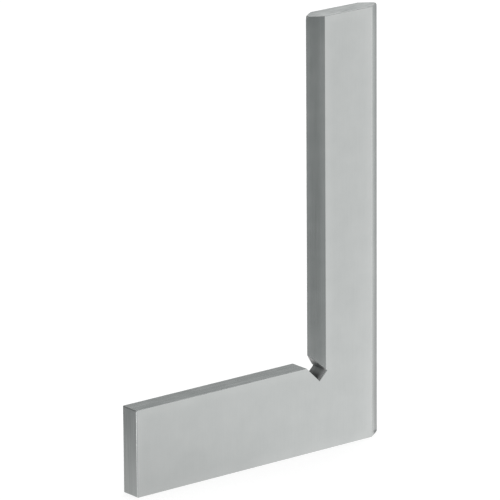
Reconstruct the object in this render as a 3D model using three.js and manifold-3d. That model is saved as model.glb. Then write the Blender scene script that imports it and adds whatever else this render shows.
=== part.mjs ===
// A knife-edge square: a flat L of hardened stainless steel, ground all over from one piece of plate.
// The short leg is the stock, a plain rectangular bar. The long leg is the blade, whose two long edges
// are bevelled from both faces to a knife edge at mid-thickness. A narrow slot relieves the inner corner.
//
// Millimetres. X runs along the stock, from its free end to the outer knife edge. Y runs through the
// thickness, and Z up the blade. The origin is under the middle of the part, on the stock's foot.

import * as THREE from 'three';
import { mergeVertices } from 'three/addons/utils/BufferGeometryUtils.js';
import Module from 'manifold-3d';

// Driving dimensions
const BLADE_HEIGHT = 100; // from the foot of the stock to the top end
const STOCK_LENGTH = 70; // from the free end to the outer knife edge
const STOCK_HEIGHT = 20;
const BLADE_WIDTH = 20.2; // from knife edge to knife edge
const THICKNESS = 5;
const BEVEL_WIDTH = 3.4; // how far each bevel reaches across a face
const RELIEF_WIDTH = 3; // the corner slot, across its parallel walls
const RELIEF_DEPTH = 3.6; // from the sharp inner corner to the slot's flat floor, along the diagonal
const TIP_BREAK = 0.5; // the 45 degree corner taken off each knife edge at the top end

// Places that follow from them
const STOCK_END_X = -STOCK_LENGTH / 2;
const OUTER_EDGE_X = STOCK_LENGTH / 2;
const INNER_EDGE_X = OUTER_EDGE_X - BLADE_WIDTH;
const FACE_Y = THICKNESS / 2;

const EIGHTH_TURN = Math.PI / 4;
const QUARTER_TURN = Math.PI / 2;

const wasm = await Module();
wasm.setup();

// A closed geometry as a solid that can be joined and cut.
function solid(geometry) {
  const bare = geometry.clone();
  bare.deleteAttribute('normal');
  bare.deleteAttribute('uv');
  const merged = mergeVertices(bare);
  return new wasm.Manifold(new wasm.Mesh({
    numProp: 3,
    vertProperties: merged.attributes.position.array,
    triVerts: new Uint32Array(merged.index.array),
  }));
}

// A solid as a geometry with flat-shaded faces.
function geometryOf(manifold) {
  const { vertProperties, triVerts } = manifold.getMesh();
  const indexed = new THREE.BufferGeometry();
  indexed.setAttribute('position', new THREE.BufferAttribute(vertProperties, 3));
  indexed.setIndex(new THREE.BufferAttribute(triVerts, 1));
  const flat = indexed.toNonIndexed();
  flat.computeVertexNormals();
  return flat;
}

function outline(points) {
  return new THREE.Shape(points.map(([a, b]) => new THREE.Vector2(a, b)));
}

// A straight bar whose section is given in X and Y, standing from Z = 0.
function uprightBar(section, height) {
  return new THREE.ExtrudeGeometry(outline(section), { depth: height, bevelEnabled: false });
}

// A flat plate whose outline is given in X and Z, centred on Y = 0.
function flatPlate(profile, thickness) {
  const plate = new THREE.ExtrudeGeometry(outline(profile), { depth: thickness, bevelEnabled: false });
  return plate.rotateX(QUARTER_TURN).translate(0, thickness / 2, 0);
}

// The blade: a bar with a long hexagonal section, pointed at both knife edges.
function blade() {
  const section = [
    [INNER_EDGE_X, 0],
    [INNER_EDGE_X + BEVEL_WIDTH, -FACE_Y],
    [OUTER_EDGE_X - BEVEL_WIDTH, -FACE_Y],
    [OUTER_EDGE_X, 0],
    [OUTER_EDGE_X - BEVEL_WIDTH, FACE_Y],
    [INNER_EDGE_X + BEVEL_WIDTH, FACE_Y],
  ];
  return uprightBar(section, BLADE_HEIGHT);
}

// The floor of the relief slot, at its end on the blade's side.
function reliefFloorEnd() {
  const along = RELIEF_DEPTH * Math.cos(EIGHTH_TURN);
  const across = (RELIEF_WIDTH / 2) * Math.cos(EIGHTH_TURN);
  return { x: INNER_EDGE_X + along + across, z: STOCK_HEIGHT - along + across };
}

// The stock, carried under the blade as far as the slot's floor. Its top edge crosses to the blade
// inside the slot, so that the blade keeps its bevels right down to the slot.
function stock() {
  const floorEnd = reliefFloorEnd();
  const profile = [
    [STOCK_END_X, 0],
    [floorEnd.x, 0],
    [floorEnd.x, floorEnd.z],
    [INNER_EDGE_X, STOCK_HEIGHT],
    [STOCK_END_X, STOCK_HEIGHT],
  ];
  return flatPlate(profile, THICKNESS);
}

// What the relief slot takes away: a square bar through the thickness, leaning at 45 degrees.
function reliefCutter() {
  const mouth = RELIEF_WIDTH;
  const cutter = new THREE.BoxGeometry(RELIEF_WIDTH, 2 * THICKNESS, RELIEF_DEPTH + mouth);
  return cutter
    .translate(0, 0, (mouth - RELIEF_DEPTH) / 2)
    .rotateY(-EIGHTH_TURN)
    .translate(INNER_EDGE_X, 0, STOCK_HEIGHT);
}

// What breaks the sharp tip of one knife edge at the top end. side is 1 for the outer edge, -1 for the inner.
function tipCutter(edgeX, side) {
  const size = 2 * THICKNESS;
  const offset = (size / 2) * Math.sqrt(2) - TIP_BREAK;
  return new THREE.BoxGeometry(size, size, size)
    .rotateY(EIGHTH_TURN)
    .translate(edgeX + side * offset / 2, 0, BLADE_HEIGHT + offset / 2);
}

function squareBody() {
  const body = solid(blade())
    .add(solid(stock()))
    .subtract(solid(reliefCutter()))
    .subtract(solid(tipCutter(OUTER_EDGE_X, 1)))
    .subtract(solid(tipCutter(INNER_EDGE_X, -1)));
  const steel = new THREE.MeshStandardMaterial({ color: 0xbcbebd, roughness: 0.35, metalness: 1 });
  const mesh = new THREE.Mesh(geometryOf(body), steel);
  mesh.name = 'square_body';
  return mesh;
}

const knifeEdgeSquare = new THREE.Group();
knifeEdgeSquare.add(squareBody());

export default knifeEdgeSquare;
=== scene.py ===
"""Looks for the knife-edge square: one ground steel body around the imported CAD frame.

Metres. +X runs along the stock to the outer knife edge, +Y through the thickness from the front face
to the back one, and +Z up the blade, which stands on the stock's foot at Z = 0.
"""

from math import cos, pi, radians, sin, sqrt, tan
from typing import NamedTuple

import bmesh
import bpy
from mathutils import Matrix, Vector


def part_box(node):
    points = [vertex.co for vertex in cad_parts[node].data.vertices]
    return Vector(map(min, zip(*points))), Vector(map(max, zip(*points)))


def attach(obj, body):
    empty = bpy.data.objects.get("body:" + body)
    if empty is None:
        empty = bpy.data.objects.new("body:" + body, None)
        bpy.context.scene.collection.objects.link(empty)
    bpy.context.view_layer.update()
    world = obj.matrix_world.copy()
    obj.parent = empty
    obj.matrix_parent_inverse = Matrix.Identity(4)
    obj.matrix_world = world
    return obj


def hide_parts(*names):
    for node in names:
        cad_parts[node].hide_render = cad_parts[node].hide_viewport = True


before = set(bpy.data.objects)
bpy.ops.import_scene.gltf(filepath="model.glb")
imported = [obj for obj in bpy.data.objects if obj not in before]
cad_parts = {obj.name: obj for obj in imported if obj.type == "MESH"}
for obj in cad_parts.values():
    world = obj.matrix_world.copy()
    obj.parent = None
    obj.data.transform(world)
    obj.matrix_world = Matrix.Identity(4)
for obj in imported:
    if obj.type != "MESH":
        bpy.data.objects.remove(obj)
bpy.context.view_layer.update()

MM = 0.001
UM = 1e-6
NODE = "square_body"


class Fade(NamedTuple):
    """Something that grows from 0 to an amount between two places."""

    start: float
    end: float
    amount: float = 1.0


# Camera: where it stands round the object, what it aims at, and its lens.
CAMERA_AZIMUTH = -38.27
CAMERA_ELEVATION = 16.47
CAMERA_ROLL = 0.41
CAMERA_DISTANCE = 1225 * MM
CAMERA_AIM = Vector((-1.22, 0, 49.61)) * MM
LENS = 400.75
SENSOR = 36

# Edges: how far each kind is cut back along the faces beside it.
KNIFE_BREAK = 0.05 * MM
INNER_FLANK_BREAK = 0.06 * MM
OUTER_FLANK_BREAK = 0.3 * MM
FLANK_TOP_BREAK = 0.13 * MM  # between a flank and the blade's top end
TOP_BREAK = 0.12 * MM  # the other edges of the top end
STOCK_END_BREAK = 0.23 * MM
RELIEF_BREAK = 0.08 * MM
RELIEF_FLOOR_BREAK = 0.3 * MM  # between the relief slot's floor and a large face
OTHER_BREAK = 0.08 * MM
WIDEST_BREAK = max(OUTER_FLANK_BREAK, RELIEF_FLOOR_BREAK)
EDGE_SEGMENTS = 4

# Flanks: lapping leaves them a little crowned, so that their slope turns by this much to either side.
CROWN_TURN = radians(5)
CROWN_STRIPS = 6

# Steel: its darkest and its lightest tone, tones 0 and 1, and the size of its broad mottling.
DARK_STEEL = (0.452, 0.471, 0.467)
LIGHT_STEEL = (0.640, 0.655, 0.647)
CLOUD_SIZE = 5 * MM


class Finish(NamedTuple):
    """How one kind of surface was finished. The last three are how strongly things show in its tone."""

    lines: str  # the axes along which its lines are drawn out
    width: float  # of a fine line, in millimetres
    length: float  # of a fine line, in millimetres
    depth: float  # of the lines, in micrometres
    roughness: float
    fine: float  # fine lines
    bands: float  # bands of lines
    clouds: float  # broad mottling


FINISHES = {
    "ground": Finish("Z", 0.12, 8, 1.0, 0.36, 0.25, 0.05, 0.5),
    "flank": Finish("Z", 0.10, 14, 0.5, 0.22, 0.4, 0.4, 0.65),
    "measuring": Finish("X", 0.15, 5, 0.6, 0.16, 1.2, 1.0, 0.6),
    "stock_end": Finish("Z", 0.16, 10, 1.2, 0.33, 1.6, 0.7, 0.35),
    "blade_end": Finish("X", 0.35, 2, 3.0, 0.5, 2.0, 2.0, 1.0),
    "relief": Finish("XZ", 0.25, 5, 4.0, 0.55, 0.9, 0.9, 0.6),
    "edge": Finish("", 0.30, 0.30, 1.0, 0.18, 0.4, 0.3, 0.3),
}
BAND_SCALE = 4  # how many times wider and longer a band is than a fine line
LINE_DETAIL = 2  # octaves of the lines' noise
CLOUD_DETAIL = 3
MIDDLE_TONE = 0.5
ROUGHNESS_BY_LINES = 0.08
ROUGHNESS_BY_CLOUDS = 0.1

# Surface kinds, in the order of the body's material slots.
KINDS = list(FINISHES)

# Changes of tone by place. The first, MARGIN, only lightens the large faces toward their outline; the
# others are painted light and shade, following where the studio's reflections fall.
MARGIN = Fade(3 * MM, 0, 0.14)  # on the large faces, toward their outline
# Painted sheen: the large faces lighter toward the outer knife edge.
PAINTED_SHEEN_OUTWARD = Fade(22 * MM, 33 * MM, 0.12)  # on the large faces, toward the outer knife edge
# Painted shade: the flanks darker toward the top end.
PAINTED_SHADE_FLANK_TOP = Fade(-7 * MM, 0, -0.5)  # on the flanks, from the top end
# Painted light: the outer flanks lighter low down, close to the large faces' side.
PAINTED_LIGHT_OUTER_LOW = Fade(75 * MM, 30 * MM, 0.6)  # low on the outer flanks
OUTER_NEAR_FACE = Fade(1.7 * MM, 0.3 * MM)  # and only this far from the large faces' side
# Painted shade: the outer flanks darker toward the outer knife edge.
PAINTED_SHADE_OUTER_KNIFE = Fade(1.9 * MM, 2.6 * MM, -0.3)  # on the outer flanks, from the large faces' side
# Painted shade: the top end darker above the inner flanks, a dark line along the inner bevel's top.
PAINTED_SHADE_INNER_TOP_END = Fade(2 * MM, -2 * MM, -0.4)  # on the top end, from the large faces' inner side

# Relief slot: painted light near its mouth and near the front face, and painted shade toward its walls
# farther in.
# "Across" runs from the slot's middle line toward its upper wall, and "deep" from the inner corner.
PAINTED_LIGHT_STEEL = (0.9, 0.9, 0.9)
FROM_FRONT = Fade(-2.3 * MM, -0.7 * MM)
FROM_MOUTH = Fade(0.4 * MM, 1.6 * MM)
# Painted shade on the slot's walls: where it lies across and deep, and how dark it is.
PAINTED_SHADE_BELOW = Fade(0.9 * MM, -1.0 * MM)  # across
PAINTED_SHADE_ABOVE = Fade(1.3 * MM, 1.45 * MM)  # across
PAINTED_SHADE_ABOVE_DEEP = Fade(0.8 * MM, 2.6 * MM, 0.45)  # deep
PAINTED_SHADE_DARKNESS = 0.7

# Reflected light round the object: radiance by azimuth in degrees. 0 is straight in front of the square's
# front face and 90 is to its right. The low ring is below the horizon and the high ring above it.
LOW_RING = [
    (-180, 0.45), (-166, 0.36), (-152, 0.24), (-142, 0.22), (-125, 0.28), (-117, 1.0), (-99, 1.1),
    (-94, 4.5), (-86, 4.5), (-81, 1.1), (-56, 1.1), (-49, 0.42), (-36, 0.29), (-20, 0.46),
    (10, 0.8), (38, 1.0), (80, 1.04), (90, 0.97), (99, 0.8), (110, 0.56), (120, 0.42),
    (127, 0.7), (136, 1.0), (146, 0.9), (158, 0.55), (180, 0.45),
]
HIGH_RING = [
    (-180, 0.2), (-120, 0.25), (-90, 0.8), (-60, 0.5), (-20, 0.4), (40, 0.8), (90, 0.8),
    (120, 0.5), (140, 0.43), (165, 0.28), (180, 0.2),
]
ZENITH = (0.2, 0.2, 0.2)
NADIR = (0.8, 0.8, 0.8)
# Heights on the unit sphere between which one light gives way to the next.
LOW_TO_HIGH = Fade(-0.2, 0.25)
HIGH_TO_ZENITH = Fade(0.3, 0.75)
LOW_TO_NADIR = Fade(-0.45, -0.75)
RED_LACK = 0.05  # how much red the darkest parts of the rings lack


class Softbox(NamedTuple):
    """A round light above the horizon. Angles in degrees."""

    azimuth: float
    elevation: float
    inner: float  # the radius inside which it is fully bright
    outer: float
    radiance: float


SOFTBOXES = [Softbox(128, 52, 14, 32, 1.45), Softbox(0, 90, 7, 14, 0.7)]

SUN_ELEVATION = 62
SUN_SPREAD = 60
SUN_STRENGTH = 1.0

# Floor and walls, in metres.
FLOOR_HALF = 40
FLOOR_PAPER = (0.45, 0.45, 0.45)
FLOOR_GLOW = 0.71
WALL_DISTANCE = 3
WALL_GLOW = 1.0

# Foot glow: a painted reflection of the floor close to the square's foot, which the steel mirrors in the
# floor's place. It is darker behind the square and round the outer knife edge's foot, where it paints the
# square's shadow.
GLOW_DEPTH = 0.05 * MM  # how far it lies under the floor
GLOW_COVER = 0.7  # how much of the light below the horizon it hides at the foot
GLOW_REACH = (90 * MM, 220 * MM)  # at X = 0, and at GLOW_REACH_END and beyond
GLOW_REACH_END = 120 * MM
FRONT_GLOW = (0.74, 1.1)  # its radiance at the ends of FRONT_SPAN
FRONT_SPAN = (-40 * MM, 45 * MM)
# The darker middle behind the square paints the square's shadow.
BACK_GLOW = (0.7, 0.4, 0.6)  # its radiance behind the square: left, middle and right
BACK_LEFT = (-42 * MM, -25 * MM)
BACK_RIGHT = (25 * MM, 42 * MM)
FRONT_TO_BACK = Fade(-3 * MM, 9 * MM)  # along Y
FORWARD_SHIFT = Fade(25 * MM, 38 * MM, 5 * MM)  # how far forward that moves toward the outer knife edge
TIP_SHADOW = (0.5 * MM, 2 * MM)  # round the outer knife edge's foot, from its darkest part outward
TIP_SHADOW_LEVEL = 0.3
TIP_SHADOW_END = Fade(34 * MM, 31 * MM)  # along X, where it gives out under the square


def direction(azimuth, elevation):
    """A unit vector. Azimuth 0 is -Y, the way the front face looks, and 90 is +X."""
    a, e = radians(azimuth), radians(elevation)
    return Vector((sin(a) * cos(e), -cos(a) * cos(e), sin(e)))


def add_to_scene(thing):
    bpy.context.scene.collection.objects.link(thing)
    return thing


# Body mesh

MERGE_DISTANCE = 1e-3 * MM
CUT_TOLERANCE = 1e-6 * MM
SHARE_TOLERANCE = 0.001
FLATNESS = radians(0.5)
SQUARE_ON = 0.99  # how much of a face's normal lies along an axis, at least, if the face is square to it
SLANTED = 0.5  # the same along Y for a flank
TOP_BAND = MM  # faces centred this close to the top belong to the top end
ABOVE_SLOT = 10 * MM  # farther above the stock than the relief slot reaches


def classify(face, box):
    """What kind of surface a flat face of the CAD body is."""
    normal, centre = face.normal, face.calc_center_median()
    at_top = centre.z > box[1].z - TOP_BAND
    if abs(normal.y) > SQUARE_ON:
        return "ground"
    if abs(normal.y) > SLANTED:
        return "flank"
    if normal.x < -SQUARE_ON:
        return "stock_end"
    if at_top:
        return "blade_end"
    return "measuring" if abs(normal.z) > SQUARE_ON else "relief"


def solid_from_cad(node, box):
    """The CAD body with its coplanar triangles joined into one face each, and each face's kind."""
    bm = bmesh.new()
    bm.from_mesh(node.data)
    bmesh.ops.remove_doubles(bm, verts=bm.verts[:], dist=MERGE_DISTANCE)
    bmesh.ops.dissolve_limit(bm, angle_limit=FLATNESS, verts=bm.verts[:], edges=bm.edges[:])
    bm.normal_update()
    for face in bm.faces:
        face.material_index = KINDS.index(classify(face, box))
        face.smooth = True
    return bm


def kind_of(face):
    return KINDS[face.material_index]


def faces_of(bm, name):
    return [f for f in bm.faces if kind_of(f) == name]


class Layout(NamedTuple):
    """Places along X and Z that the edges and the finishes follow."""

    stock_end: float  # X of the large faces' end
    inner_knife: float  # X of the inner knife edge
    inner_side: float  # X of the large faces' side along the inner flanks
    outer_side: float  # X of the large faces' side along the outer flanks
    stock_top: float  # Z
    blade_top: float  # Z

    @property
    def blade_middle(self):
        return (self.inner_side + self.outer_side) / 2


def layout_of(bm, flanks):
    """The layout, measured on the uncrowned body."""
    stock_top = max(f.calc_center_median().z for f in faces_of(bm, "measuring"))
    corners = [v.co for face in faces_of(bm, "ground") for v in face.verts]
    return Layout(
        stock_end=min(v.x for v in corners),
        inner_knife=min(flank.edge.x for flank in flanks),
        inner_side=min(v.x for v in corners if v.z > stock_top + ABOVE_SLOT),
        outer_side=max(v.x for v in corners),
        stock_top=stock_top,
        blade_top=max(v.z for v in corners),
    )


class Flank(NamedTuple):
    """One bevelled side of the blade."""

    edge: Vector  # a point on its knife edge
    across: Vector  # the way across it, away from the knife edge
    width: float
    normal: Vector

    def share(self, point):
        """How far across a point lies: 0 at the knife edge and 1 at the large face."""
        return (point - self.edge).dot(self.across) / self.width

    def normal_at(self, point):
        """The crowned flank's normal."""
        share = min(1, max(0, self.share(point)))
        slope = tan(CROWN_TURN) * (1 - 2 * share)
        return (self.normal - self.across * slope).normalized()


def flank_of(face):
    edge = min(face.verts, key=lambda v: abs(v.co.y)).co
    far = max(face.verts, key=lambda v: abs(v.co.y)).co
    across = Vector((-face.normal.y, face.normal.x, 0))
    if across.dot(far - edge) < 0:
        across = -across
    return Flank(Vector((edge.x, 0, 0)), across, abs(far.y / across.y), face.normal.copy())


def is_beside(face, flank):
    """Whether a flank's face lies along the same knife edge as another flank."""
    return abs(face.calc_center_median().x - flank.edge.x) < flank.width


def cut_strips(bm, flank):
    """Cuts a flank, and the one behind it, into strips along the blade."""
    for i in range(1, CROWN_STRIPS):
        x = flank.edge.x + flank.across.x * flank.width * i / CROWN_STRIPS
        near = [f for f in faces_of(bm, "flank") if is_beside(f, flank)]
        parts = set(near)
        for face in near:
            parts.update(face.edges)
            parts.update(face.verts)
        plane = {"plane_co": (x, 0, 0), "plane_no": (1, 0, 0)}
        bmesh.ops.bisect_plane(bm, geom=list(parts), dist=CUT_TOLERANCE, **plane)


def is_inside(vert, flank):
    """Whether a vertex lies on a flank, between its two long edges."""
    same_side = flank.normal.y * vert.co.y > 0
    on_plane = abs((vert.co - flank.edge).dot(flank.normal)) < MERGE_DISTANCE
    return same_side and on_plane and SHARE_TOLERANCE < flank.share(vert.co) < 1 - SHARE_TOLERANCE


def crown_move(vert, flank):
    """How far a vertex moves when its flank is crowned. One on the relief slot stays in the slot's wall."""
    share = flank.share(vert.co)
    move = flank.normal * (flank.width * tan(CROWN_TURN) * share * (1 - share))
    for face in vert.link_faces:
        if kind_of(face) == "relief":
            move.z -= move.dot(face.normal) / face.normal.z
    return move


def crown_flanks(bm, flanks):
    """Cuts the flanks into strips along the blade, and swells them between their two long edges."""
    front = [flank for flank in flanks if flank.normal.y < 0]
    for flank in sorted(front, key=lambda flank: flank.edge.x):
        cut_strips(bm, flank)
    for vert in bm.verts:
        flank = next((flank for flank in flanks if is_inside(vert, flank)), None)
        if flank:
            vert.co += crown_move(vert, flank)
    bm.normal_update()


def edge_break(edge, layout):
    """How far an edge is cut back, by the kinds of the faces that it joins."""
    if not edge.is_convex:
        return 0
    kinds = {kind_of(f) for f in edge.link_faces}
    if kinds == {"flank"}:
        one, other = edge.link_faces
        return KNIFE_BREAK if one.normal.y * other.normal.y < 0 else 0
    if "relief" in kinds:
        slot = next(f for f in edge.link_faces if kind_of(f) == "relief")
        is_floor = slot.normal.x < 0 < slot.normal.z
        return RELIEF_FLOOR_BREAK if is_floor and "ground" in kinds else RELIEF_BREAK
    if kinds == {"blade_end", "flank"}:
        return FLANK_TOP_BREAK
    if "blade_end" in kinds:
        return TOP_BREAK
    if "flank" in kinds:
        is_outer = edge.verts[0].co.x > layout.blade_middle
        return OUTER_FLANK_BREAK if is_outer else INNER_FLANK_BREAK
    if "stock_end" in kinds:
        return STOCK_END_BREAK
    return OTHER_BREAK


def mark_breaks(bm, layout):
    """Writes each edge's break as a weight, for the bevel modifier."""
    weights = bm.edges.layers.float.new("bevel_weight_edge")
    for edge in bm.edges:
        edge[weights] = edge_break(edge, layout) / WIDEST_BREAK


def break_edges(body):
    """Cuts the marked edges back to small rounds, in slot "edge"."""
    bevel = body.modifiers.new("breaks", "BEVEL")
    bevel.limit_method = "WEIGHT"
    bevel.offset_type = "OFFSET"
    bevel.width = WIDEST_BREAK
    bevel.segments = EDGE_SEGMENTS
    bevel.use_clamp_overlap = False
    bevel.material = KINDS.index("edge")
    bevel.miter_outer = "MITER_ARC"
    graph = bpy.context.evaluated_depsgraph_get()
    mesh = bpy.data.meshes.new_from_object(body.evaluated_get(graph))
    body.modifiers.clear()
    body.data = mesh


def flank_normal(mesh, face, vertex, flanks):
    flank = max(flanks, key=lambda flank: flank.normal.dot(face.normal))
    return flank.normal_at(mesh.vertices[vertex].co)


def shade(body, flanks):
    """Exact normals: flat faces stay flat, flanks follow their crown, and edges turn between them."""
    mesh = body.data
    from_faces = {}
    from_edges = {}
    for face in mesh.polygons:
        for v in face.vertices:
            if kind_of(face) == "edge":
                from_edges[v] = from_edges.get(v, Vector()) + face.normal * face.area
            elif kind_of(face) == "flank":
                from_faces.setdefault(v, flank_normal(mesh, face, v, flanks))
            else:
                from_faces.setdefault(v, face.normal.copy())
    normals = [None] * len(mesh.loops)
    for face in mesh.polygons:
        face.use_smooth = True
        for loop in face.loop_indices:
            v = mesh.loops[loop].vertex_index
            if kind_of(face) == "edge":
                normal = from_faces.get(v) or from_edges[v].normalized()
            elif kind_of(face) == "flank":
                normal = flank_normal(mesh, face, v, flanks)
            else:
                normal = face.normal
            normals[loop] = tuple(normal)
    mesh.normals_split_custom_set(normals)


# Materials


class Nodes:
    """A node tree that is written left to right."""

    def __init__(self, tree):
        self.tree = tree
        tree.nodes.clear()

    def add(self, kind, inputs=None, **settings):
        node = self.tree.nodes.new(kind)
        for name, value in settings.items():
            setattr(node, name, value)
        for key, value in (inputs or {}).items():
            if isinstance(value, bpy.types.NodeSocket):
                self.tree.links.new(value, node.inputs[key])
            else:
                node.inputs[key].default_value = value
        return node

    def math(self, operation, *values):
        return self.add("ShaderNodeMath", dict(enumerate(values)), operation=operation).outputs[0]

    def ramp(self, value, low, high, to_low, to_high):
        """A smooth step from one value to another."""
        node = self.add(
            "ShaderNodeMapRange",
            {"Value": value, "From Min": low, "From Max": high, "To Min": to_low, "To Max": to_high},
            interpolation_type="SMOOTHSTEP",
        )
        return node.outputs["Result"]

    def fade(self, value, fade, origin=0.0):
        """A fade whose places are measured from an origin."""
        return self.ramp(value, origin + fade.start, origin + fade.end, 0.0, fade.amount)

    def place(self):
        return self.add("ShaderNodeTexCoord").outputs["Object"]

    def separate(self, vector):
        return self.add("ShaderNodeSeparateXYZ", {0: vector}).outputs

    def noise(self, place, sizes, detail):
        """Noise whose grains have these sizes along X, Y and Z."""
        scales = [1 / size for size in sizes]
        scaled = self.add("ShaderNodeVectorMath", {0: place, 1: scales}, operation="MULTIPLY")
        noise = self.add("ShaderNodeTexNoise", {0: scaled.outputs[0], "Scale": 1.0, "Detail": detail})
        return noise.outputs[0]

    def weigh(self, base, *parts):
        """base plus each noise's departure from its middle, times its weight."""
        total = base - sum(weight / 2 for _, weight in parts)
        for value, weight in parts:
            total = self.math("MULTIPLY_ADD", value, weight, total)
        return total

    def mix(self, factor, low, high):
        """A mix of two colours, each one a socket or three numbers."""
        low, high = (c if isinstance(c, bpy.types.NodeSocket) else (*c, 1) for c in (low, high))
        return self.add("ShaderNodeMix", {0: factor, 6: low, 7: high}, data_type="RGBA").outputs[2]

    def glow(self, strength):
        return self.add("ShaderNodeEmission", {"Strength": strength}).outputs[0]

    def surface(self, shader):
        self.add("ShaderNodeOutputMaterial", {"Surface": shader})


def node_material(name):
    """A new material and its empty node tree."""
    material = bpy.data.materials.new(name)
    material.use_nodes = True
    return material, Nodes(material.node_tree)


def margin_tone(n, x, z, layout):
    """The large faces' change of tone along their outline."""
    above_stock = n.math("SUBTRACT", layout.stock_top, z)
    inward = n.math("MAXIMUM", above_stock, n.math("SUBTRACT", x, layout.inner_side))
    sides = [
        z,
        n.math("SUBTRACT", x, layout.stock_end),
        n.math("SUBTRACT", layout.outer_side, x),
        n.math("SUBTRACT", layout.blade_top, z),
    ]
    for distance in sides:
        inward = n.math("MINIMUM", inward, distance)
    return n.fade(inward, MARGIN)


def local_tones(n, kind, place, layout):
    """The changes of tone by place on one kind of surface: painted light and shade, and on the large faces
    also a lightening toward their outline.
    """
    x, _, z = n.separate(place)
    if kind == "ground":
        return [margin_tone(n, x, z, layout), n.fade(x, PAINTED_SHEEN_OUTWARD)]
    if kind == "flank":
        is_outer = n.math("GREATER_THAN", x, layout.blade_middle)
        near_face = n.math("MULTIPLY", is_outer, n.fade(x, OUTER_NEAR_FACE, layout.outer_side))
        return [
            n.fade(z, PAINTED_SHADE_FLANK_TOP, layout.blade_top),
            n.math("MULTIPLY", near_face, n.fade(z, PAINTED_LIGHT_OUTER_LOW)),
            n.fade(x, PAINTED_SHADE_OUTER_KNIFE, layout.outer_side),
        ]
    if kind == "blade_end":
        return [n.fade(x, PAINTED_SHADE_INNER_TOP_END, layout.inner_side)]
    return []


def paint_slot_light_and_shade(n, colour, place, layout):
    """The relief slot's colour, with painted light near the outside and painted shade on its walls farther
    in.
    """
    x, y, z = n.separate(place)
    east = n.math("SUBTRACT", x, layout.inner_knife)
    up = n.math("SUBTRACT", z, layout.stock_top)
    across = n.math("MULTIPLY", n.math("ADD", east, up), sqrt(0.5))
    deep = n.math("MULTIPLY", n.math("SUBTRACT", east, up), sqrt(0.5))
    from_front = n.fade(y, FROM_FRONT)
    inside = n.math("MULTIPLY", from_front, n.fade(deep, FROM_MOUTH))
    # Painted light: lighter steel near the slot's mouth and the front face.
    colour = n.mix(inside, PAINTED_LIGHT_STEEL, colour)
    # Painted shade: darker toward the slot's walls farther in.
    above = n.math("MULTIPLY", n.fade(across, PAINTED_SHADE_ABOVE), n.fade(deep, PAINTED_SHADE_ABOVE_DEEP))
    painted_shade = n.math("MAXIMUM", n.fade(across, PAINTED_SHADE_BELOW), above)
    painted_shade = n.math("MULTIPLY", painted_shade, from_front)
    return n.mix(n.math("MULTIPLY", painted_shade, PAINTED_SHADE_DARKNESS), colour, (0, 0, 0))


def steel(kind, layout):
    """Steel with the finish of one kind of surface."""
    finish = FINISHES[kind]
    material, n = node_material(f"steel_{kind}")
    place = n.place()
    sizes = [(finish.length if axis in finish.lines else finish.width) * MM for axis in "XYZ"]
    fine = n.noise(place, sizes, LINE_DETAIL)
    band = n.noise(place, [BAND_SCALE * size for size in sizes], LINE_DETAIL)
    cloud = n.noise(place, [CLOUD_SIZE] * 3, CLOUD_DETAIL)
    tone = n.weigh(MIDDLE_TONE, (fine, finish.fine), (band, finish.bands), (cloud, finish.clouds))
    for change in local_tones(n, kind, place, layout):
        tone = n.math("ADD", tone, change)
    colour = n.mix(tone, DARK_STEEL, LIGHT_STEEL)
    if kind == "relief":
        colour = paint_slot_light_and_shade(n, colour, place, layout)
    rough = n.weigh(finish.roughness, (fine, ROUGHNESS_BY_LINES), (cloud, ROUGHNESS_BY_CLOUDS))
    height = n.weigh(0.0, (fine, 1.0), (band, 1.0))
    bump = n.add("ShaderNodeBump", {"Height": height, "Strength": 1.0, "Distance": finish.depth * UM})
    shader = n.add(
        "ShaderNodeBsdfPrincipled",
        {"Base Color": colour, "Metallic": 1.0, "Roughness": rough, "Normal": bump.outputs[0]},
    )
    n.surface(shader.outputs[0])
    return material


def make_body():
    """The whole tool, which stands for the CAD body."""
    bm = solid_from_cad(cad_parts[NODE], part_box(NODE))
    flanks = [flank_of(face) for face in faces_of(bm, "flank")]
    layout = layout_of(bm, flanks)
    crown_flanks(bm, flanks)
    mark_breaks(bm, layout)
    mesh = bpy.data.meshes.new("square")
    bm.to_mesh(mesh)
    bm.free()
    body = add_to_scene(bpy.data.objects.new("square", mesh))
    for name in KINDS:
        mesh.materials.append(steel(name, layout))
    break_edges(body)
    shade(body, flanks)
    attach(body, "root")
    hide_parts(NODE)


# Surroundings


def make_camera():
    data = bpy.data.cameras.new("camera")
    data.lens = LENS
    data.sensor_width = SENSOR
    data.clip_start = 0.01
    data.clip_end = 100
    camera = add_to_scene(bpy.data.objects.new("camera", data))
    back = direction(CAMERA_AZIMUTH, CAMERA_ELEVATION)
    camera.location = CAMERA_AIM + back * CAMERA_DISTANCE
    level = (-back).to_track_quat("-Z", "Y").to_matrix().to_4x4()
    turn = level @ Matrix.Rotation(radians(-CAMERA_ROLL), 4, "Z")
    camera.rotation_mode = "QUATERNION"
    camera.rotation_quaternion = turn.to_quaternion()
    bpy.context.scene.camera = camera


def square_ring(half, z):
    return [(-half, -half, z), (half, -half, z), (half, half, z), (-half, half, z)]


def stage_piece(name, points, faces, shader_of):
    """A piece of the studio. shader_of makes its shader in the nodes that it is given."""
    mesh = bpy.data.meshes.new(name)
    mesh.from_pydata(points, [], faces)
    piece = add_to_scene(bpy.data.objects.new(name, mesh))
    material, n = node_material(name)
    n.surface(shader_of(n))
    mesh.materials.append(material)
    return piece


def hide(piece, *rays):
    """Hides a piece or a light from these kinds of rays."""
    for ray in rays:
        setattr(piece, f"visible_{ray}", False)


def floor_shader(n):
    paper = n.add("ShaderNodeBsdfDiffuse", {"Color": (*FLOOR_PAPER, 1)})
    return n.add("ShaderNodeAddShader", {0: paper.outputs[0], 1: n.glow(FLOOR_GLOW)}).outputs[0]


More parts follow.
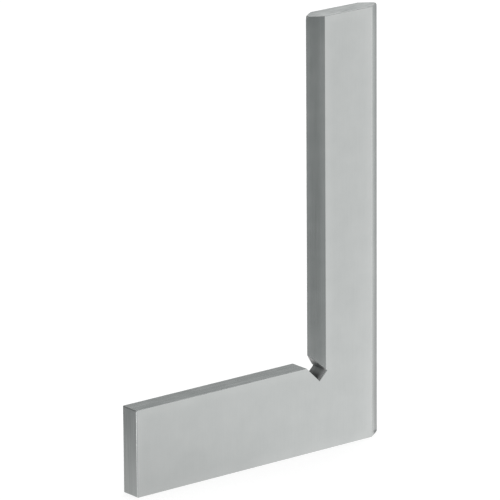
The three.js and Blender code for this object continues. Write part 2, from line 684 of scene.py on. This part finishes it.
def make_floor():
    """A pale floor. The steel mirrors the low ring and the foot glow in its place."""
    floor = stage_piece("floor", square_ring(FLOOR_HALF, 0), [(0, 1, 2, 3)], floor_shader)
    hide(floor, "glossy")


def make_walls():
    """Pale walls and a ceiling, which only the camera sees."""
    points = square_ring(WALL_DISTANCE, 0) + square_ring(WALL_DISTANCE, WALL_DISTANCE)
    sides = [(i, (i + 1) % 4, (i + 1) % 4 + 4, i + 4) for i in range(4)]
    walls = stage_piece("walls", points, sides + [(4, 5, 6, 7)], lambda n: n.glow(WALL_GLOW))
    hide(walls, "glossy", "diffuse", "shadow", "transmission")


def ring_light(n, turn, ring):
    """The light of a ring. turn is the azimuth, from 0 at -180 degrees to 1 at 180."""
    node = n.add("ShaderNodeValToRGB", {"Fac": turn})
    ramp = node.color_ramp
    ramp.interpolation = "EASE"
    while len(ramp.elements) > 1:
        ramp.elements.remove(ramp.elements[-1])
    for i, (angle, value) in enumerate(ring):
        at = angle / 360 + 0.5
        element = ramp.elements[0] if i == 0 else ramp.elements.new(at)
        element.position = at
        red = value * (1 - RED_LACK * max(0, 1 - value))
        element.color = (red, value, value, 1)
    return node.outputs["Color"]


def softbox_light(n, ray, softbox):
    towards = direction(softbox.azimuth, softbox.elevation)
    facing = n.add("ShaderNodeVectorMath", {0: ray, 1: towards}, operation="DOT_PRODUCT")
    outer, inner = cos(radians(softbox.outer)), cos(radians(softbox.inner))
    return n.ramp(facing.outputs["Value"], outer, inner, 0.0, softbox.radiance)


def make_world():
    """The studio that the steel mirrors: two rings of light, with softboxes."""
    world = bpy.data.worlds.new("studio")
    bpy.context.scene.world = world
    world.use_nodes = True
    n = Nodes(world.node_tree)
    ray = n.add("ShaderNodeTexCoord").outputs["Generated"]
    x, y, z = n.separate(ray)
    angle = n.math("ARCTAN2", x, n.math("MULTIPLY", y, -1.0))
    turn = n.math("MULTIPLY_ADD", angle, 1 / (2 * pi), 0.5)
    light = n.mix(n.fade(z, LOW_TO_HIGH), ring_light(n, turn, LOW_RING), ring_light(n, turn, HIGH_RING))
    light = n.mix(n.fade(z, HIGH_TO_ZENITH), light, ZENITH)
    light = n.mix(n.fade(z, LOW_TO_NADIR), light, NADIR)
    for softbox in SOFTBOXES:
        glow = softbox_light(n, ray, softbox)
        light = n.add("ShaderNodeVectorMath", {0: light, 1: glow}, operation="ADD").outputs[0]
    background = n.add("ShaderNodeBackground", {"Color": light, "Strength": 1.0})
    n.add("ShaderNodeOutputWorld", {"Surface": background.outputs[0]})


def make_sun():
    """Soft light from overhead, which the steel doesn't mirror."""
    data = bpy.data.lights.new("overhead", "SUN")
    data.energy = SUN_STRENGTH
    data.angle = radians(SUN_SPREAD)
    sun = add_to_scene(bpy.data.objects.new("overhead", data))
    sun.rotation_mode = "QUATERNION"
    sun.rotation_quaternion = (-direction(CAMERA_AZIMUTH, SUN_ELEVATION)).to_track_quat("-Z", "Y")
    hide(sun, "glossy")


def glow_level(n, x, y, away):
    """The foot glow's radiance: its front part and its back part, whose darker middle is the square's
    painted shadow, less the tip's painted shadow.
    """
    left, middle, right = BACK_GLOW
    front = n.ramp(x, *FRONT_SPAN, *FRONT_GLOW)
    back_left = n.ramp(x, *BACK_LEFT, left, middle)
    back = n.math("ADD", back_left, n.ramp(x, *BACK_RIGHT, 0.0, right - middle))
    behind = n.fade(n.math("ADD", y, n.fade(x, FORWARD_SHIFT)), FRONT_TO_BACK)
    level = n.add("ShaderNodeMix", {0: behind, 2: front, 3: back}).outputs[0]
    near_tip = n.ramp(away, *TIP_SHADOW, TIP_SHADOW_LEVEL, 1.0)
    return n.math("MULTIPLY", level, n.math("MAXIMUM", near_tip, n.fade(x, TIP_SHADOW_END)))


def foot_glow_shader(n):
    x, y, _ = n.separate(n.place())
    half_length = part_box(NODE)[1].x
    beyond = n.math("MAXIMUM", n.math("SUBTRACT", n.math("ABSOLUTE", x), half_length), 0.0)
    away = n.math("SQRT", n.math("ADD", n.math("POWER", beyond, 2.0), n.math("POWER", y, 2.0)))
    reach = n.ramp(x, 0.0, GLOW_REACH_END, *GLOW_REACH)
    cover = n.ramp(n.math("DIVIDE", away, reach), 0.0, 1.0, GLOW_COVER, 0.0)
    clear = n.add("ShaderNodeBsdfTransparent").outputs[0]
    glow = n.glow(glow_level(n, x, y, away))
    return n.add("ShaderNodeMixShader", {0: cover, 1: clear, 2: glow}).outputs[0]


def make_foot_glow():
    """The card that shows the steel a painted reflection of the floor close to its foot. Only reflections
    see it.
    """
    points = square_ring(2 * max(GLOW_REACH), -GLOW_DEPTH)
    card = stage_piece("foot_glow", points, [(0, 1, 2, 3)], foot_glow_shader)
    hide(card, "camera", "diffuse", "shadow", "transmission")


make_body()
make_foot_glow()
make_camera()
make_floor()
make_walls()
make_world()
make_sun()
bpy.context.scene.view_settings.view_transform = "Standard"
